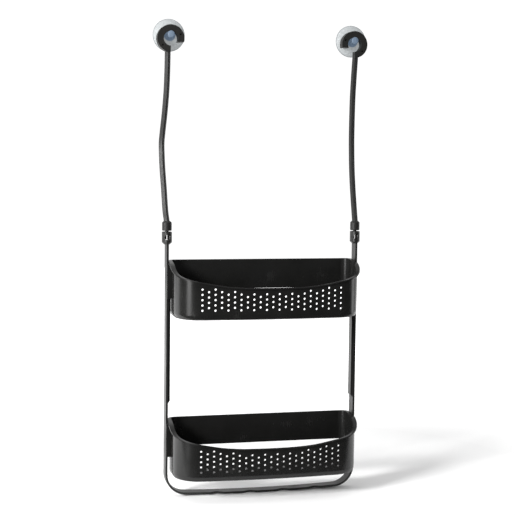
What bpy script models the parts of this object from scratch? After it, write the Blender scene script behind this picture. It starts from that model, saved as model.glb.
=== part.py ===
"""Two-basket shower caddy on bendable hook arms with suction cups.

Frame: +X to the right, +Y towards the wall, +Z up. The origin is the middle of
the flat back face of the frame's bottom bar. Sizes are in millimetres.
"""
import math

import bmesh
import bpy
from mathutils import Matrix, Vector

MM = 0.001
WELD = 1e-6
SMOOTH_UNDER = math.radians(38.0)
SIDES = (("left", -1), ("right", 1))

# frame
FRAME_HALF_W = 140.0
BLADE_T = 3.0
BLADE_FRONT = -17.0
BEND_R = 28.5
BAR_SAG = 2.5
RIB_X = 134.0
RIB_FRONT = -15.0
RIB_BACK = -3.0
NOTCH_COUNT = 4
NOTCH_PITCH = 48.5
NOTCH_FIRST = -65.0
NOTCH_DEPTH = 4.0
NOTCH_HALF = 11.5

# swivel connector
SWIVEL_X = 138.5
SWIVEL_Y = -8.0
SOCKET_R = 7.0
SOCKET_HALF_D = 8.5
SOCKET_LOW = 358.0
SOCKET_TOP = 375.8
BORE_R = 3.9
PIN_R = 3.5
NECK_R = 2.5
HEAD_R = 3.9
SLOT_HALF = 0.75
WINDOW_Z = 367.8
WINDOW_R = 4.3
COLLAR_R = 6.8
COLLAR_LOW = 377.3
COLLAR_TOP = 390.8

# arm
STRAP_HALF_W = 4.1
STRAP_HALF_D = 3.9
STRAP_FLAT = 0.9
WIRE_R = 1.0
CHANNEL_R = 1.3
RING_X = 134.0
RING_Y = -1.25
RING_Z = 644.6
RING_OUT = 19.1
RING_IN = 10.2
RING_HALF_D = 5.75
TIP_DROP = 4.9
DIMPLE_RING_R = 14.8
DIMPLE_R = 1.3
STEM_X = 137.3
STEM_BITE = 1.2
ARM_WAY = ((138.5, -8.0, 386.0), (138.8, -6.6, 392.0), (139.6, -0.3, 406.0),
           (140.1, 9.2, 436.0), (141.0, 17.9, 466.0), (141.5, 22.4, 496.0),
           (140.7, 20.8, 513.0), (138.8, 14.8, 541.0), (137.4, 9.1, 571.0),
           (137.1, 4.2, 601.0), (STEM_X, 1.2, 622.0), (STEM_X, -0.8, 634.0))

# suction cup: (radius, distance towards the wall) round its outside, then back inside
CUP_Z = 650.2
CUP_PROFILE = ((0.0, -9.2), (3.4, -9.0), (4.6, -8.6), (4.9, -8.2), (4.8, -7.9), (4.4, -7.4),
               (4.2, -6.9), (4.2, 5.0), (8.5, 5.3), (13.5, 6.4), (18.5, 8.7), (21.8, 11.2),
               (22.8, 12.0), (22.8, 12.5), (20.8, 12.5), (17.5, 10.8), (12.5, 9.0), (6.0, 8.2),
               (0.0, 8.0))

# basket: heights are measured from the back rim
BASKET_RIMS = (("upper", 335.7), ("lower", 110.2))
SIDE_X = 133.0
BACK_Y = 3.0
FRONT_Y = -74.3
CORNER_R = 37.0
BACK_R = 12.0
FRONT_R = 1195.0
WALL = 2.0
DEPTH = 79.3
BACK_STRIP_H = 42.0
OPENING_HALF = 126.0
LIP_T = 2.2
PLATE_T = 2.6
PLATE_H = 53.0
# rim height and lip width against the distance round the wall from the back
RIM_DIP = ((0.0, 0.0), (14.0, 0.0), (24.0, -1.4), (39.0, -5.0), (49.0, -11.0), (56.0, -15.2),
           (64.0, -18.6), (74.0, -21.4), (87.0, -24.0), (106.0, -27.6), (130.0, -31.6),
           (152.0, -33.5), (177.0, -34.2), (230.0, -34.2))
LIP_WIDE = ((0.0, 0.3), (4.0, 0.6), (16.0, 3.3), (24.0, 3.6), (34.0, 4.7), (49.0, 4.2),
            (57.0, 3.1), (66.0, 2.2), (92.0, 1.8), (230.0, 1.8))
HOLE_R = 1.55
HOLE_PITCH = 9.05
HOLE_RISE = 7.27
HOLE_LOW = -64.8
HOLE_COUNTS = (3, 4, 3, 4, 3, 4, 4, 4, 4, 5, 4, 5)
HOLE_SIDES = 8

for old in list(bpy.data.objects):
    bpy.data.objects.remove(old, do_unlink=True)

PARTS = bpy.data.collections.new("shower_caddy")
CUTS = bpy.data.collections.new("cutters")
for group in (PARTS, CUTS):
    bpy.context.scene.collection.children.link(group)


# tools ------------------------------------------------------------------------
def add_object(name, data, origin, cut):
    obj = bpy.data.objects.new(name, data)
    (CUTS if cut else PARTS).objects.link(obj)
    obj.location = Vector(origin) * MM
    if cut:
        obj.hide_render = True
        obj.display_type = "WIRE"
    return obj


def clean(mesh):
    """Weld a mesh and turn its faces outwards."""
    bm = bmesh.new()
    bm.from_mesh(mesh)
    bmesh.ops.remove_doubles(bm, verts=bm.verts, dist=WELD)
    bmesh.ops.recalc_face_normals(bm, faces=bm.faces)
    bm.to_mesh(mesh)
    bm.free()


def as_mesh(curve_object, cut):
    """Mesh object in place of a curve object, with its caps welded."""
    bpy.context.view_layer.update()
    seen = curve_object.evaluated_get(bpy.context.evaluated_depsgraph_get())
    mesh = bpy.data.meshes.new_from_object(seen)
    clean(mesh)
    mesh.shade_smooth()
    mesh.set_sharp_from_angle(angle=SMOOTH_UNDER)
    name = curve_object.name
    curve_object.name = "curve"
    obj = add_object(name, mesh, (0, 0, 0), cut)
    obj.matrix_world = curve_object.matrix_world
    bpy.data.objects.remove(curve_object, do_unlink=True)
    return obj


def closed_line(name, points):
    """Flat closed curve, with points relative to its origin."""
    curve = bpy.data.curves.new(name, "CURVE")
    curve.dimensions = "2D"
    spline = curve.splines.new("POLY")
    spline.points.add(len(points) - 1)
    for point, (x, y) in zip(spline.points, points):
        point.co = (x * MM, y * MM, 0, 1)
    spline.use_cyclic_u = True
    return curve


def slab(name, points, low, high, axis="Z", origin=(0, 0, 0), cut=False):
    """Outline extruded along Z from low to high, or an XZ outline along Y."""
    curve = closed_line(name, points)
    curve.fill_mode = "BOTH"
    curve.extrude = (high - low) / 2 * MM
    obj = add_object(name, curve, origin, cut)
    if axis == "Y":
        obj.rotation_euler.x = math.pi / 2
        obj.location.y += (low + high) / 2 * MM
    else:
        obj.location.z += (low + high) / 2 * MM
    return as_mesh(obj, cut)


def tube(name, path, radius=0.0, section=None, origin=(0, 0, 0), cut=False):
    """Round tube, or a flat section, carried along a path of world points."""
    curve = bpy.data.curves.new(name, "CURVE")
    curve.dimensions = "3D"
    spline = curve.splines.new("POLY")
    spline.points.add(len(path) - 1)
    for point, place in zip(spline.points, path):
        point.co = (*((Vector(place) - Vector(origin)) * MM), 1)
    curve.use_fill_caps = True
    profile = None
    if section:
        profile = add_object(name + "_section", closed_line(name + "_section", section), (0, 0, 0), True)
        curve.bevel_mode = "OBJECT"
        curve.bevel_object = profile
    else:
        curve.bevel_depth = radius * MM
        curve.bevel_resolution = 2
    obj = as_mesh(add_object(name, curve, origin, cut), cut)
    if profile:
        bpy.data.objects.remove(profile, do_unlink=True)
    return obj


def turned(name, profile, origin, steps, axis="Z", cut=False):
    """Turned solid: (radius, height) down its outer side, closed on the axis."""
    mesh = bpy.data.meshes.new(name)
    points = [(r * MM, 0, h * MM) for r, h in profile]
    mesh.from_pydata(points, [(k, k + 1) for k in range(len(points) - 1)], [])
    obj = add_object(name, mesh, origin, cut)
    if axis == "Y":
        obj.rotation_euler.x = -math.pi / 2
    screw = obj.modifiers.new("turn", "SCREW")
    screw.steps = steps
    screw.render_steps = steps
    screw.use_merge_vertices = True
    screw.merge_threshold = WELD
    screw.use_smooth_shade = True
    return obj


def boolean(obj, cutter, operation="DIFFERENCE"):
    mod = obj.modifiers.new(cutter.name, "BOOLEAN")
    mod.operation = operation
    mod.solver = "EXACT"
    mod.object = cutter


def finish(obj, name, color, roughness, metallic=0.0):
    mat = bpy.data.materials.get(name)
    if not mat:
        mat = bpy.data.materials.new(name)
        mat.use_nodes = True
        shader = mat.node_tree.nodes["Principled BSDF"]
        shader.inputs["Base Color"].default_value = (*color, 1.0)
        shader.inputs["Roughness"].default_value = roughness
        shader.inputs["Metallic"].default_value = metallic
    obj.data.materials.append(mat)


def group_empty(name, origin):
    """Empty on a moving group's axis."""
    empty = bpy.data.objects.new(name, None)
    PARTS.objects.link(empty)
    empty.location = Vector(origin) * MM
    empty.empty_display_size = 0.02
    return empty


def attach(obj, parent):
    obj.parent = parent
    obj.location -= parent.location


def between(table, s):
    """Smooth interpolation in a short table."""
    for k, ((a, va), (b, vb)) in enumerate(zip(table, table[1:])):
        if s <= b:
            break
    t = min(max((s - a) / (b - a), 0.0), 1.0)
    before = table[k - 1] if k else (2 * a - b, va)
    after = table[k + 2] if k + 2 < len(table) else (2 * b - a, vb)
    ma = (vb - before[1]) / (b - before[0]) * (b - a)
    mb = (after[1] - va) / (after[0] - a) * (b - a)
    return ((2 * t**3 - 3 * t**2 + 1) * va + (t**3 - 2 * t**2 + t) * ma
            + (-2 * t**3 + 3 * t**2) * vb + (t**3 - t**2) * mb)


def curve_through(points, steps):
    """Catmull-Rom points through a list."""
    pts = [Vector(p) for p in points]
    pts = [2 * pts[0] - pts[1]] + pts + [2 * pts[-1] - pts[-2]]
    out = []
    for a, b, c, d in zip(pts, pts[1:], pts[2:], pts[3:]):
        for k in range(steps):
            t = k / steps
            out.append(0.5 * (2 * b + (c - a) * t + (2 * a - 5 * b + 4 * c - d) * t * t
                              + (3 * b - a - 3 * c + d) * t**3))
    return out + [pts[-2]]


# frame ------------------------------------------------------------------------
def frame_side(offset):
    """Half of the frame's outline at an offset from its middle line, bottom to top."""
    middle = FRAME_HALF_W - BLADE_T / 2
    start = middle - BEND_R
    points = []
    for k in range(7):
        x = start * k / 7
        points.append((x, BAR_SAG * (x / start) ** 2 - offset))
    for k in range(13):
        a = math.radians(-90 + 90 * k / 12)
        r = BEND_R + offset
        points.append((start + r * math.cos(a), BAR_SAG + BEND_R + r * math.sin(a)))
    points.append((middle + offset, SOCKET_LOW + 3.0))
    return points


def add_ribs(frame, side, s):
    """Guide rib between the baskets and the short block that holds the lower one."""
    inside = FRAME_HALF_W - BLADE_T + 0.5
    spans = (("rib", BASKET_RIMS[0], 8.0, 199.0), ("block", BASKET_RIMS[1], 8.0, 25.0))
    for name, (_, rim), high, low in spans:
        outline = [(inside * s, rim - high), (RIB_X * s, rim - high), (RIB_X * s, rim - low),
                   (inside * s, rim - low - 4.5)]
        boolean(frame, slab(f"{side}_{name}", outline, RIB_FRONT, RIB_BACK, "Y", cut=True), "UNION")


def cut_notches(frame):
    """Shallow waves in the bar's front edge, where loops hang."""
    for k in range(NOTCH_COUNT):
        mid = NOTCH_FIRST + k * NOTCH_PITCH
        outline = [(mid + NOTCH_HALF, BLADE_FRONT - 3.0), (mid - NOTCH_HALF, BLADE_FRONT - 3.0)]
        for i in range(13):
            a = -1 + i / 6
            depth = NOTCH_DEPTH * 0.5 * (1 + math.cos(math.pi * a))
            outline.append((mid + NOTCH_HALF * a, BLADE_FRONT - 0.01 + depth))
        boolean(frame, slab(f"notch_{k + 1}", outline, -8.0, 8.0, cut=True))


def add_socket(frame, side, s):
    """Oval sleeve at the top of the blade, its bore and its round window."""
    sleeve = turned(f"{side}_sleeve", [(0.0, SOCKET_TOP), (SOCKET_R - 0.6, SOCKET_TOP),
                                       (SOCKET_R, SOCKET_TOP - 0.6), (SOCKET_R, SOCKET_LOW + 3.0),
                                       (SOCKET_R - 3.1, SOCKET_LOW), (0.0, SOCKET_LOW)],
                    (SWIVEL_X * s, BLADE_FRONT + SOCKET_HALF_D, 0), 24, cut=True)
    sleeve.scale.y = SOCKET_HALF_D / SOCKET_R
    boolean(frame, sleeve, "UNION")
    top = SOCKET_TOP + 2.0
    bottom = WINDOW_Z - 5.5
    bore = turned(f"{side}_bore", [(0.0, top), (BORE_R, top), (BORE_R, bottom), (0.0, bottom)],
                  (SWIVEL_X * s, SWIVEL_Y, 0), 16, cut=True)
    boolean(frame, bore)
    window = turned(f"{side}_window", [(0.0, 20.0), (WINDOW_R, 20.0), (WINDOW_R, -20.0), (0.0, -20.0)],
                    (SWIVEL_X * s, SWIVEL_Y, WINDOW_Z), 16, "Y", cut=True)
    boolean(frame, window)


def build_frame():
    outer = frame_side(BLADE_T / 2)
    inner = frame_side(-BLADE_T / 2)
    outline = [(-x, z) for x, z in outer[:0:-1]] + outer + inner[::-1] + [(-x, z) for x, z in inner[1:]]
    frame = slab("u_frame", outline, BLADE_FRONT, 0.0, "Y")
    finish(frame, "frame_plastic", (0.018, 0.018, 0.018), 0.42)
    for side, s in SIDES:
        add_ribs(frame, side, s)
    cut_notches(frame)
    for side, s in SIDES:
        add_socket(frame, side, s)


# baskets ----------------------------------------------------------------------
def wall_stations():
    """Stations round the basket's wall: point, outward normal, distance from the back."""
    mid_r = FRONT_R - CORNER_R
    swing = math.asin((SIDE_X - CORNER_R) / mid_r)
    corner_y = FRONT_Y + FRONT_R - mid_r * math.cos(swing)
    side_y = BACK_Y - BACK_R
    right = []
    for k in range(4):
        a = math.radians(90 - 22.5 * k)
        right.append((SIDE_X - BACK_R + BACK_R * math.cos(a), side_y + BACK_R * math.sin(a),
                      math.cos(a), math.sin(a)))
    for k in range(5):
        right.append((SIDE_X, side_y + (corner_y - side_y) * k / 5, 1.0, 0.0))
    for k in range(10):
        a = -(math.pi / 2 - swing) * k / 10
        right.append((SIDE_X - CORNER_R + CORNER_R * math.cos(a), corner_y + CORNER_R * math.sin(a),
                      math.cos(a), math.sin(a)))
    for k in range(9):
        a = swing * (1 - k / 8)
        right.append((FRONT_R * math.sin(a), FRONT_Y + FRONT_R * (1 - math.cos(a)), math.sin(a),
                      -math.cos(a)))
    run = 0.0
    out = []
    for k, (x, y, nx, ny) in enumerate(right):
        if k:
            run += math.hypot(x - right[k - 1][0], y - right[k - 1][1])
        out.append((x, y, nx, ny, run))
    return out + [(-x, y, -nx, ny, s) for x, y, nx, ny, s in out[-2::-1]]


def wall_section(s):
    """Section of the floor edge, wall and lip: (outward offset, height), round the outside first."""
    floor = -DEPTH
    top = between(RIM_DIP, s)
    lip = between(LIP_WIDE, s)
    return ((-6.0, floor), (-2.2, floor + 1.4), (-0.4, floor + 4.2), (0.0, floor + 8.0),
            (0.0, top - LIP_T), (lip, top - LIP_T), (lip, top - 0.7), (lip - 0.7, top),
            (-WALL, top), (-WALL, floor + 8.0), (-WALL - 0.6, floor + 4.6),
            (-WALL - 1.8, floor + 2.6), (-6.4, floor + 2.0))


def basket_shell(name, rim):
    """Loft of the changing wall section round the basket, with the floor between."""
    bm = bmesh.new()
    rings = []
    for x, y, nx, ny, s in wall_stations():
        rings.append([bm.verts.new(Vector((x + nx * d, y + ny * d, z)) * MM) for d, z in wall_section(s)])
    for a, b in zip(rings, rings[1:]):
        for i in range(len(a) - 1):
            bm.faces.new((a[i], a[i + 1], b[i + 1], b[i]))
    bm.faces.new(rings[0])
    bm.faces.new(rings[-1])
    bm.faces.new([ring[0] for ring in rings])
    bm.faces.new([ring[-1] for ring in rings])
    bm.faces.new((rings[0][0], rings[0][-1], rings[-1][-1], rings[-1][0]))
    mesh = bpy.data.meshes.new(name)
    bm.to_mesh(mesh)
    bm.free()
    clean(mesh)
    mesh.shade_smooth()
    mesh.set_sharp_from_angle(angle=SMOOTH_UNDER)
    return add_object(name, mesh, (0, 0, rim), False)


def add_ears(basket, which, side, s, rim):
    """Front plate, cap and tail that hang the basket over a rib of the frame."""
    edge = BLADE_FRONT - 0.4
    root = SIDE_X - 1.8
    heel = SIDE_X - 3.8
    hook = RIB_BACK + 2.4
    plate = [(root, edge - PLATE_T), (139.6, edge - PLATE_T), (139.6, edge), (root, edge)]
    cap = [(root, edge - 2.0), (136.6, edge - 2.0), (136.6, hook), (root, hook)]
    tail = [(heel, RIB_BACK + 0.4), (136.6, RIB_BACK + 0.4), (136.6, hook), (heel, hook)]
    for name, outline, low, high in (("plate", plate, -PLATE_H, -5.6), ("cap", cap, -7.6, -5.4),
                                     ("tail", tail, -20.0, -5.5)):
        piece = slab(f"{which}_{side}_{name}", [(x * s, y) for x, y in outline], low, high,
                     origin=(0, 0, rim), cut=True)
        boolean(basket, piece, "UNION")


def cut_drain_holes(basket, which, rim):
    bm = bmesh.new()
    for column in range(-11, 12):
        a = column * HOLE_PITCH / FRONT_R
        middle = FRONT_R - WALL / 2
        for row in range(HOLE_COUNTS[abs(column)]):
            z = HOLE_LOW + HOLE_RISE * (row if column % 2 else row + 0.5)
            place = Vector((middle * math.sin(a), FRONT_Y + FRONT_R - middle * math.cos(a), z)) * MM
            turn = Matrix.Rotation(a, 4, "Z") @ Matrix.Rotation(math.pi / 2, 4, "X")
            bmesh.ops.create_cone(bm, cap_ends=True, segments=HOLE_SIDES, radius1=HOLE_R * MM,
                                  radius2=HOLE_R * MM, depth=7.0 * MM,
                                  matrix=Matrix.Translation(place) @ turn)
    mesh = bpy.data.meshes.new(f"{which}_drain_holes")
    bm.to_mesh(mesh)
    bm.free()
    boolean(basket, add_object(mesh.name, mesh, (0, 0, rim), True))


def build_basket(which, rim):
    basket = basket_shell(f"{which}_basket", rim)
    finish(basket, "basket_plastic", (0.014, 0.014, 0.013), 0.36)
    end = SIDE_X - BACK_R
    strip = [(end + 0.4, BACK_Y - 0.03), (end + 2.0, BACK_Y - 1.0), (end + 2.0, BACK_Y - 1.4),
             (end + 0.4, BACK_Y - WALL + 0.03)]
    strip += [(-x, y) for x, y in strip[::-1]]
    back = slab(f"{which}_back_strip", strip, -BACK_STRIP_H, -0.02, origin=(0, 0, rim), cut=True)
    boolean(basket, back, "UNION")
    gap = [(-OPENING_HALF, -2.0), (OPENING_HALF, -2.0), (OPENING_HALF, BACK_Y + 1.0),
           (-OPENING_HALF, BACK_Y + 1.0)]
    opening = slab(f"{which}_opening", gap, 3.0 - DEPTH, -BACK_STRIP_H - 0.02, origin=(0, 0, rim), cut=True)
    boolean(basket, opening)
    for side, s in SIDES:
        add_ears(basket, which, side, s, rim)
    cut_drain_holes(basket, which, rim)


# arms -------------------------------------------------------------------------
def ring_outline():
    """Open hook of the right arm in XZ, from its tip over the top to the stem."""
    tip_out = math.pi + math.asin(TIP_DROP / RING_OUT)
    tip_in = math.pi + math.asin(TIP_DROP / RING_IN)
    stem = STEM_X - STRAP_HALF_W + STEM_BITE - RING_X
    end_out = -math.acos(stem / RING_OUT)
    end_in = -math.acos(stem / RING_IN)
    outer = [tip_out + (end_out - tip_out) * k / 30 for k in range(31)]
    inner = [tip_in + (end_in - tip_in) * k / 24 for k in range(25)]
    points = [(RING_X + RING_OUT * math.cos(a), RING_Z + RING_OUT * math.sin(a)) for a in outer]
    points += [(RING_X + RING_IN * math.cos(a), RING_Z + RING_IN * math.sin(a)) for a in reversed(inner)]
    return points


def wire_path():
    """Middle line of the right arm's bendable core, from the collar round the hook."""
    way = curve_through(ARM_WAY[1:-1], 4)
    mid = (RING_OUT + RING_IN) / 2
    stem = way[-1]
    turn = math.radians(-45.0)
    meet = Vector((RING_X + mid * math.cos(turn), RING_Y, RING_Z + mid * math.sin(turn)))
    knee = Vector((stem.x, RING_Y, meet.z - (meet.x - stem.x)))
    path = way[:-1]
    for k in range(7):
        t = k / 6
        path.append(stem * (1 - t) ** 2 + knee * 2 * t * (1 - t) + meet * t * t)
    for k in range(1, 17):
        a = turn + math.radians(220.0) * k / 16
        path.append(Vector((RING_X + mid * math.cos(a), RING_Y, RING_Z + mid * math.sin(a))))
    return path


def on_side(points, s):
    return [Vector((p[0] * s, p[1], p[2])) for p in points]


def build_skin(side, s, axis):
    """Soft skin: ridged strap, collar and hook, hollow for the wire and the pin's head."""
    w = STRAP_HALF_W
    d = STRAP_HALF_D
    f = STRAP_FLAT
    section = [(w, -f), (w, f), (f, d), (-f, d), (-w, f), (-w, -f), (-f, -d), (f, -d)]
    skin = tube(f"{side}_arm_skin", on_side(curve_through(ARM_WAY, 4), s), section=section, origin=axis)
    finish(skin, "arm_skin", (0.022, 0.022, 0.021), 0.62)
    hook = slab(f"{side}_hook", [(x * s, z) for x, z in ring_outline()], RING_Y - RING_HALF_D,
                RING_Y + RING_HALF_D, "Y", cut=True)
    boolean(skin, hook, "UNION")
    collar = turned(f"{side}_collar", [(0.0, COLLAR_TOP), (COLLAR_R - 2.2, COLLAR_TOP),
                                       (COLLAR_R, COLLAR_TOP - 2.2), (COLLAR_R, COLLAR_LOW + 0.6),
                                       (COLLAR_R - 0.5, COLLAR_LOW), (0.0, COLLAR_LOW)],
                    axis, 24, cut=True)
    boolean(skin, collar, "UNION")
    path = wire_path()
    grow = (path[-1] - path[-2]).normalized() * 0.6
    path = [path[0] - Vector((0.1, 0.5, 3.0))] + path + [path[-1] + grow]
    boolean(skin, tube(f"{side}_channel", on_side(path, s), CHANNEL_R, cut=True))
    pocket = turned(f"{side}_pocket", [(0.0, COLLAR_LOW + 9.0), (HEAD_R + 0.4, COLLAR_LOW + 9.0),
                                       (HEAD_R + 0.4, COLLAR_LOW + 3.0), (NECK_R + 0.4, COLLAR_LOW + 3.0),
                                       (NECK_R + 0.4, COLLAR_LOW - 2.0), (0.0, COLLAR_LOW - 2.0)],
                    axis, 16, cut=True)
    boolean(skin, pocket)
    for k, degrees in enumerate((157.0, -39.0)):
        a = math.radians(degrees)
        x = (RING_X + DIMPLE_RING_R * math.cos(a)) * s
        z = RING_Z + DIMPLE_RING_R * math.sin(a)
        deep = RING_Y - 0.6
        front = RING_Y - RING_HALF_D - 2.0
        dimple = turned(f"{side}_dimple_{k + 1}",
                        [(0.0, deep), (DIMPLE_R, deep), (DIMPLE_R, front), (0.0, front)],
                        (x, 0, z), 8, "Y", cut=True)
        boolean(skin, dimple)
    return skin


def build_pin(side, s, axis):
    """Snap pin: a head inside the collar, a neck, and two flat prongs in the socket."""
    low = WINDOW_Z - 2.9
    top = WINDOW_Z + 4.2
    pin = turned(f"{side}_swivel_pin",
                 [(0.0, COLLAR_LOW + 8.0), (HEAD_R, COLLAR_LOW + 8.0), (HEAD_R, COLLAR_LOW + 3.4),
                  (NECK_R, COLLAR_LOW + 3.4), (NECK_R, SOCKET_TOP - 0.8), (PIN_R, SOCKET_TOP - 1.6),
                  (PIN_R, low + 3.4), (3.3, low + 1.6), (2.7, low + 0.4), (2.0, low), (1.2, low + 0.4),
                  (0.7, low + 1.6), (0.0, low + 2.0)], axis, 16)
    finish(pin, "pin_plastic", (0.02, 0.02, 0.02), 0.4)
    x = SWIVEL_X * s
    slot = [(x - SLOT_HALF, low - 1.0), (x + SLOT_HALF, low - 1.0), (x + SLOT_HALF, top),
            (x - SLOT_HALF, top)]
    boolean(pin, slab(f"{side}_pin_slot", slot, SWIVEL_Y - 6.0, SWIVEL_Y + 6.0, "Y", cut=True))
    flat = [(x - 6.0, low - 2.0), (x + 6.0, low - 2.0), (x + 6.0, top + 0.3), (x - 6.0, top + 0.3)]
    for name, y0, y1 in (("front", -6.0, -1.6), ("back", 1.6, 6.0)):
        boolean(pin, slab(f"{side}_pin_{name}_flat", flat, SWIVEL_Y + y0, SWIVEL_Y + y1, "Y", cut=True))
    return pin


def build_arm(side, s):
    axis = (SWIVEL_X * s, SWIVEL_Y, 0)
    arm = group_empty(f"{side}_arm", axis)
    wire = tube(f"{side}_arm_wire", on_side(wire_path(), s), WIRE_R, origin=axis)
    finish(wire, "arm_wire", (0.55, 0.55, 0.56), 0.3, 1.0)
    cup = turned(f"{side}_suction_cup", CUP_PROFILE[::-1], (RING_X * s, 0, CUP_Z), 32, "Y")
    finish(cup, "cup_vinyl", (0.62, 0.66, 0.68), 0.25)
    for obj in (build_skin(side, s, axis), wire, build_pin(side, s, axis), cup):
        attach(obj, arm)


build_frame()
for which, rim in BASKET_RIMS:
    build_basket(which, rim)
for side, s in SIDES:
    build_arm(side, s)
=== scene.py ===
import math

import bpy
from mathutils import Matrix, Vector


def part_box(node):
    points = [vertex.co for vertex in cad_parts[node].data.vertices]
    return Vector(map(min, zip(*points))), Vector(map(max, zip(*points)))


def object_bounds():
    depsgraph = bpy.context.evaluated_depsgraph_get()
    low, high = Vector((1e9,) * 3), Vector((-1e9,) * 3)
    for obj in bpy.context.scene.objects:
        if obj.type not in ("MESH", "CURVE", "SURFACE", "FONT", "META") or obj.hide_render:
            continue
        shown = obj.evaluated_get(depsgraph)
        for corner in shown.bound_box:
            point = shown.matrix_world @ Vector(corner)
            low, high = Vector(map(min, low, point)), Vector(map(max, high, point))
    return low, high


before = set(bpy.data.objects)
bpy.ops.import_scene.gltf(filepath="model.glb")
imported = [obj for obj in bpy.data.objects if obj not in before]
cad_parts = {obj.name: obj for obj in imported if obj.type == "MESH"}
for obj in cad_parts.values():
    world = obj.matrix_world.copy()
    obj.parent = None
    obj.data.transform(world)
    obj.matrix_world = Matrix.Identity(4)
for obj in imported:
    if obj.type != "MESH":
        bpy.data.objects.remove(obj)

MM = 0.001
CAD_BOX = [list(v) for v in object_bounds()]
FLOOR_GAP = 0.2 * MM
FLOOR_Z = CAD_BOX[0][2] - FLOOR_GAP

# fine surface of the CAD nodes
WELD = 1e-6
FLAT_UNDER = math.radians(0.4)
ROUND_OVER = math.radians(32.0)
SMOOTH_UNDER = math.radians(38.0)
ROUND_STEPS = 2

# camera: turned to the left of the caddy, a little above it
TURN = math.radians(-14.14)
TILT = math.radians(4.64)
ROLL = math.radians(0.683)
CAMERA_AWAY = 1.8365
CAMERA_LEFT = 0.0048
CAMERA_RISE = 0.3365
SENSOR_MM = 36.0
LENS_MM = 87.95

# floor: its front edge is near, so that the baskets' fronts do not reflect it
FLOOR_RADIUS = 1.9
FLOOR_FRONT = -0.16
FLOOR_SIDES = 96
LEAST_GLOW_AT = (0.15, 0.1, FLOOR_Z)
GLOW_FROM, GLOW_FULL = 0.3, 0.9

AIM = Vector((0, 0, 0.3))
# name, turn from the front in degrees (negative to the left), height, distance, size, watts
LIGHTS = (("left_front", -58, 0.6, 2.2, (0.7, 1.8), 18),
          ("left_back", -118, 0.6, 2.2, (0.7, 1.8), 6),
          ("right", 95, 0.6, 2.2, (0.6, 1.8), 8),
          ("key", -57, 1.0, 2.2, (0.6, 0.6), 84),
          ("top", -60, 2.2, 0.9, (1.2, 1.2), 8))


# node helpers -----------------------------------------------------------------
class Graph:
    """Short way to build a node tree."""

    def __init__(self, tree):
        self.tree = tree

    def link(self, value, socket):
        self.tree.links.new(value, socket)

    def fill(self, socket, value):
        """Link a socket to another node's output, or set it to a plain value."""
        if isinstance(value, bpy.types.NodeSocket):
            self.link(value, socket)
        else:
            socket.default_value = value

    def add(self, kind, inputs=None, **settings):
        node = self.tree.nodes.new(kind)
        for key, value in settings.items():
            setattr(node, key, value)
        for key, value in (inputs or {}).items():
            self.fill(node.inputs[key], value)
        return node

    def math(self, operation, a, b=0.0):
        return self.add("ShaderNodeMath", {0: a, 1: b}, operation=operation).outputs[0]

    def noise(self, where, scale, detail=2.0, rough=0.5):
        node = self.add("ShaderNodeTexNoise", {"Vector": where, "Scale": scale, "Detail": detail,
                                               "Roughness": rough})
        return node.outputs["Fac"]

    def cells(self, where, scale):
        return self.add("ShaderNodeTexVoronoi", {"Vector": where, "Scale": scale}).outputs["Distance"]

    def remap(self, value, low, high, to_low, to_high):
        node = self.add("ShaderNodeMapRange", {"Value": value, "From Min": low, "From Max": high,
                                               "To Min": to_low, "To Max": to_high})
        return node.outputs[0]

    def spread(self, noise, to_low, to_high):
        """Stretch a noise, most of which lies from 0.3 to 0.7, over a wider range."""
        return self.remap(noise, 0.3, 0.7, to_low, to_high)

    def mix(self, factor, a, b):
        node = self.add("ShaderNodeMix", data_type="RGBA")
        for key, value in ((0, factor), (6, a), (7, b)):
            self.fill(node.inputs[key], value)
        return node.outputs[2]

    def bump(self, height, strength, distance, after=None):
        inputs = {"Height": height, "Strength": strength, "Distance": distance}
        if after:
            inputs["Normal"] = after
        return self.add("ShaderNodeBump", inputs).outputs[0]

    def stretched(self, where, scale):
        return self.add("ShaderNodeMapping", {"Vector": where, "Scale": scale}).outputs[0]


def new_material(name):
    """A material, its graph, its shader and the object's own coordinates."""
    mat = bpy.data.materials.new(name)
    mat.use_nodes = True
    graph = Graph(mat.node_tree)
    shader = mat.node_tree.nodes["Principled BSDF"]
    where = graph.add("ShaderNodeTexCoord").outputs["Object"]
    return mat, graph, shader, where


# materials --------------------------------------------------------------------
def moulded_plastic(name, dark, light, rough, grain):
    """Black moulded plastic: fine spark-eroded grain, soft flow marks, dust-pale scuffs."""
    mat, g, shader, where = new_material(name)
    cloud = g.noise(where, 28.0, 3.0, 0.6)
    grainy = g.noise(where, grain, 2.0, 0.7)
    scratch = g.noise(g.stretched(where, (900.0, 900.0, 70.0)), 1.0, 2.0, 0.6)
    patches = g.remap(cloud, 0.45, 0.7, 0.0, 1.0)
    scuff = g.remap(g.math("MULTIPLY", scratch, patches), 0.42, 0.6, 0.0, 1.0)
    body = g.mix(g.spread(cloud, 0.0, 1.0), (*dark, 1), (*light, 1))
    worn = g.mix(g.math("MULTIPLY", scuff, 0.08), body, (0.075, 0.075, 0.074, 1))
    g.link(worn, shader.inputs["Base Color"])
    scuff_rough = g.math("MULTIPLY", scuff, 0.12)
    g.link(g.math("ADD", g.spread(cloud, *rough), scuff_rough), shader.inputs["Roughness"])
    fine = g.bump(grainy, 0.15, 0.05 * MM)
    g.link(g.bump(cloud, 0.15, 0.2 * MM, fine), shader.inputs["Normal"])
    shader.inputs["Specular IOR Level"].default_value = 0.4
    return mat


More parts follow.
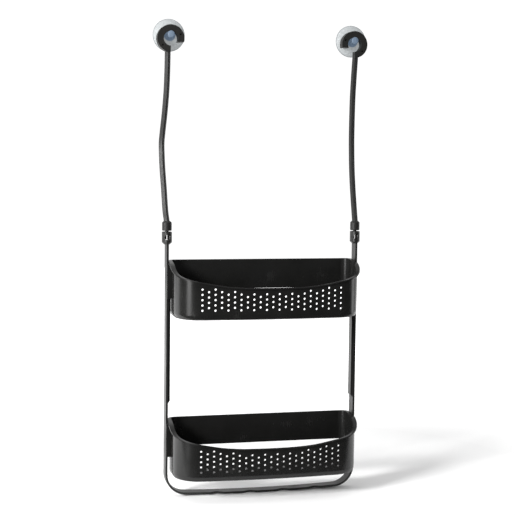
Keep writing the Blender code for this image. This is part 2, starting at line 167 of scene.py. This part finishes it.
def soft_rubber(name):
    """Matt thermoplastic skin: pebbled grain, long draw lines and a little dust."""
    mat, g, shader, where = new_material(name)
    cloud = g.noise(where, 45.0, 3.0, 0.6)
    pebble = g.cells(where, 1400.0)
    lines = g.noise(g.stretched(where, (1500.0, 1500.0, 25.0)), 1.0, 2.0, 0.6)
    dust = g.remap(g.noise(where, 420.0, 4.0, 0.75), 0.6, 0.8, 0.0, 0.4)
    body = g.mix(cloud, (0.009, 0.009, 0.0086, 1), (0.015, 0.015, 0.0143, 1))
    g.link(g.mix(dust, body, (0.04, 0.04, 0.039, 1)), shader.inputs["Base Color"])
    g.link(g.spread(lines, 0.42, 0.6), shader.inputs["Roughness"])
    fine = g.bump(pebble, 0.2, 0.06 * MM)
    g.link(g.bump(lines, 0.1, 0.05 * MM, fine), shader.inputs["Normal"])
    shader.inputs["Specular IOR Level"].default_value = 0.3
    return mat


def steel_wire(name):
    """Drawn steel: lengthwise drawing marks and slight dulling."""
    mat, g, shader, where = new_material(name)
    drawn = g.noise(g.stretched(where, (4000.0, 4000.0, 60.0)), 1.0, 3.0, 0.6)
    g.link(g.mix(drawn, (0.42, 0.42, 0.43, 1), (0.62, 0.62, 0.63, 1)), shader.inputs["Base Color"])
    g.link(g.spread(drawn, 0.24, 0.42), shader.inputs["Roughness"])
    g.link(g.bump(drawn, 0.3, 0.03 * MM), shader.inputs["Normal"])
    shader.inputs["Metallic"].default_value = 1.0
    return mat


def distance_from_axis(g, where, node):
    """Distance from the axis of the cup in that node, or of its mirror image, along X and Z."""
    low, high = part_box(node)
    centre = (low + high) / 2
    parts = g.add("ShaderNodeSeparateXYZ", {0: where})
    across = g.math("SUBTRACT", g.math("ABSOLUTE", parts.outputs["X"]), centre.x)
    height = g.math("SUBTRACT", parts.outputs["Z"], centre.z)
    return g.math("SQRT", g.math("ADD", g.math("MULTIPLY", across, across),
                                 g.math("MULTIPLY", height, height)))


def cup_vinyl(name):
    """Frosted soft vinyl: dimpled grain, a bluish solid middle and a darker rim.

    It glows with a little of its own colour: a painted glow standing in for the light that soft vinyl
    scatters inside itself.
    """
    mat, g, shader, where = new_material(name)
    radius = distance_from_axis(g, where, "right_suction_cup")
    middle = g.remap(radius, 7.8 * MM, 9.0 * MM, 1.0, 0.0)
    rim = g.remap(radius, 21.6 * MM, 22.4 * MM, 0.0, 0.7)
    dots = g.cells(where, 330.0)
    speck = g.remap(dots, 0.15, 0.42, 1.0, 0.0)
    cloud = g.noise(where, 160.0, 3.0, 0.6)
    clear = g.mix(g.math("MULTIPLY", speck, 0.5), (0.36, 0.375, 0.38, 1), (0.22, 0.23, 0.24, 1))
    clear = g.mix(rim, clear, (0.12, 0.13, 0.14, 1))
    solid = g.mix(g.noise(where, 900.0, 2.0, 0.6), (0.07, 0.10, 0.14, 1), (0.19, 0.25, 0.33, 1))
    body = g.mix(middle, clear, solid)
    g.link(body, shader.inputs["Base Color"])
    # painted glow: the cup's own colour given off as light, standing in for light scattered through the vinyl
    g.link(body, shader.inputs["Emission Color"])
    g.link(g.spread(cloud, 0.5, 0.65), shader.inputs["Roughness"])
    g.link(g.bump(dots, 0.35, 0.2 * MM), shader.inputs["Normal"])
    shader.inputs["Emission Strength"].default_value = 0.45
    shader.inputs["Specular IOR Level"].default_value = 0.15
    shader.inputs["Transmission Weight"].default_value = 0.5
    shader.inputs["IOR"].default_value = 1.5
    return mat


# fine surface of the CAD nodes -------------------------------------------------
def smooth_group():
    """Geometry nodes that shade smooth except over sharp edges."""
    tree = bpy.data.node_groups.new("smooth_soft_edges", "GeometryNodeTree")
    tree.interface.new_socket("Geometry", in_out="INPUT", socket_type="NodeSocketGeometry")
    tree.interface.new_socket("Geometry", in_out="OUTPUT", socket_type="NodeSocketGeometry")
    g = Graph(tree)
    start = g.add("NodeGroupInput")
    end = g.add("NodeGroupOutput")
    faces = g.add("GeometryNodeSetShadeSmooth", {"Geometry": start.outputs[0], "Shade Smooth": True},
                  domain="FACE")
    turn = g.add("GeometryNodeInputMeshEdgeAngle")
    sharp = g.add("FunctionNodeCompare", {0: turn.outputs[0], 1: SMOOTH_UNDER}, operation="GREATER_THAN")
    edges = g.add("GeometryNodeSetShadeSmooth", {"Geometry": faces.outputs[0], "Selection": sharp.outputs[0],
                                                 "Shade Smooth": False}, domain="EDGE")
    g.link(edges.outputs[0], end.inputs[0])
    return tree


def refine(obj, bevel_mm, group):
    """Weld, join flat triangles, round the edges and shade smooth."""
    weld = obj.modifiers.new("weld", "WELD")
    weld.merge_threshold = WELD
    flat = obj.modifiers.new("join flat faces", "DECIMATE")
    flat.decimate_type = "DISSOLVE"
    flat.angle_limit = FLAT_UNDER
    if bevel_mm:
        edge = obj.modifiers.new("round edges", "BEVEL")
        edge.limit_method = "ANGLE"
        edge.angle_limit = ROUND_OVER
        edge.width = bevel_mm * MM
        edge.segments = ROUND_STEPS
        edge.use_clamp_overlap = True
    shade = obj.modifiers.new("shade", "NODES")
    shade.node_group = group
    if bevel_mm:
        lean = obj.modifiers.new("flat faces stay flat", "WEIGHTED_NORMAL")
        lean.keep_sharp = True


def dress(obj, mat):
    """Give every face of a node the one material."""
    obj.data.materials.clear()
    obj.data.materials.append(mat)
    for face in obj.data.polygons:
        face.material_index = 0


def dress_cad():
    """Material and edge rounding, in mm, of every CAD node."""
    frame_mat = moulded_plastic("frame_plastic", (0.008, 0.008, 0.008), (0.012, 0.012, 0.0116),
                                (0.34, 0.44), 2200.0)
    basket_mat = moulded_plastic("basket_plastic", (0.006, 0.006, 0.0057), (0.009, 0.009, 0.0086),
                                 (0.2, 0.28), 1800.0)
    pin_mat = moulded_plastic("pin_plastic", (0.010, 0.010, 0.010), (0.015, 0.015, 0.015),
                              (0.3, 0.42), 2600.0)
    looks = [("u_frame", 0.3, frame_mat), ("upper_basket", 0.25, basket_mat),
             ("lower_basket", 0.25, basket_mat)]
    pairs = (("arm_skin", 0.15, soft_rubber("arm_skin")), ("arm_wire", 0, steel_wire("arm_wire")),
             ("swivel_pin", 0.15, pin_mat), ("suction_cup", 0, cup_vinyl("cup_vinyl")))
    looks += [(f"{side}_{ending}", bevel, mat) for ending, bevel, mat in pairs for side in ("left", "right")]
    group = smooth_group()
    for node, bevel_mm, mat in looks:
        refine(bpy.data.objects[node], bevel_mm, group)
        dress(bpy.data.objects[node], mat)


# camera, floor and light --------------------------------------------------------
def make_camera():
    back = Vector((math.sin(TURN) * math.cos(TILT), -math.cos(TURN) * math.cos(TILT), math.sin(TILT)))
    right = Vector((math.cos(TURN), math.sin(TURN), 0))
    up = back.cross(right)
    rolled_right = right * math.cos(ROLL) + up * math.sin(ROLL)
    rolled_up = up * math.cos(ROLL) - right * math.sin(ROLL)
    axes = Matrix((rolled_right, rolled_up, back)).transposed().to_4x4()
    place = back * CAMERA_AWAY - right * CAMERA_LEFT + up * CAMERA_RISE
    data = bpy.data.cameras.new("camera")
    data.sensor_width = SENSOR_MM
    data.lens = LENS_MM
    data.clip_start = 0.05
    data.clip_end = 30.0
    camera = bpy.data.objects.new("camera", data)
    camera.matrix_world = Matrix.Translation(place) @ axes
    bpy.context.scene.collection.objects.link(camera)
    bpy.context.scene.camera = camera


def make_floor():
    """Round pale floor just under the caddy. Its glow rises with distance, up to the white around it."""
    centre_y = FLOOR_FRONT + FLOOR_RADIUS
    turns = [2 * math.pi * k / FLOOR_SIDES for k in range(FLOOR_SIDES)]
    ring = [(FLOOR_RADIUS * math.cos(a), centre_y + FLOOR_RADIUS * math.sin(a), FLOOR_Z) for a in turns]
    mesh = bpy.data.meshes.new("floor")
    mesh.from_pydata(ring, [], [tuple(range(FLOOR_SIDES))])
    floor = bpy.data.objects.new("floor", mesh)
    bpy.context.scene.collection.objects.link(floor)
    mat, g, shader, where = new_material("pale_floor")
    g.link(g.mix(g.noise(where, 6.0), (0.95, 0.95, 0.95, 1), (0.97, 0.97, 0.97, 1)),
           shader.inputs["Base Color"])
    g.link(g.spread(g.noise(where, 90.0), 0.85, 0.95), shader.inputs["Roughness"])
    shader.inputs["Specular IOR Level"].default_value = 0.1
    shader.inputs["Emission Color"].default_value = (1, 1, 1, 1)
    reach = g.add("ShaderNodeVectorMath", {0: where, 1: LEAST_GLOW_AT}, operation="DISTANCE").outputs["Value"]
    g.link(g.remap(reach, GLOW_FROM, GLOW_FULL, 0.02, 1.0), shader.inputs["Emission Strength"])
    mesh.materials.append(mat)


def soft_light(name, turn, height, distance, size, power):
    """Rectangular soft light at a turn from the front, aimed at the caddy."""
    data = bpy.data.lights.new(name, "AREA")
    data.shape = "RECTANGLE"
    data.size, data.size_y = size
    data.energy = power
    lamp = bpy.data.objects.new(name, data)
    bpy.context.scene.collection.objects.link(lamp)
    angle = math.radians(turn)
    lamp.location = (distance * math.sin(angle), -distance * math.cos(angle), height)
    lamp.rotation_euler = (AIM - lamp.location).to_track_quat("-Z", "Y").to_euler()
    lamp.visible_camera = False


def make_world():
    """White seen directly; as light, dim in front and brighter behind and above."""
    world = bpy.data.worlds.new("world")
    world.use_nodes = True
    g = Graph(world.node_tree)
    g.tree.nodes.clear()
    way = g.add("ShaderNodeSeparateXYZ", {0: g.add("ShaderNodeTexCoord").outputs["Generated"]})
    behind = g.remap(way.outputs["Y"], 0.0, 0.6, 0.0, 0.62)
    above = g.remap(way.outputs["Z"], 0.3, 1.0, 0.0, 0.3)
    level = g.math("ADD", g.math("ADD", behind, above), 0.14)
    light = g.add("ShaderNodeBackground", {"Color": (1, 1, 1, 1), "Strength": level})
    plain = g.add("ShaderNodeBackground", {"Color": (1, 1, 1, 1), "Strength": 1.05})
    seen = g.add("ShaderNodeLightPath").outputs["Is Camera Ray"]
    both = g.add("ShaderNodeMixShader", {0: seen, 1: light.outputs[0], 2: plain.outputs[0]})
    out = g.add("ShaderNodeOutputWorld")
    g.link(both.outputs[0], out.inputs["Surface"])
    bpy.context.scene.world = world


make_camera()
dress_cad()
make_floor()
make_world()
for light in LIGHTS:
    soft_light(*light)
bpy.context.scene.view_settings.view_transform = "Standard"
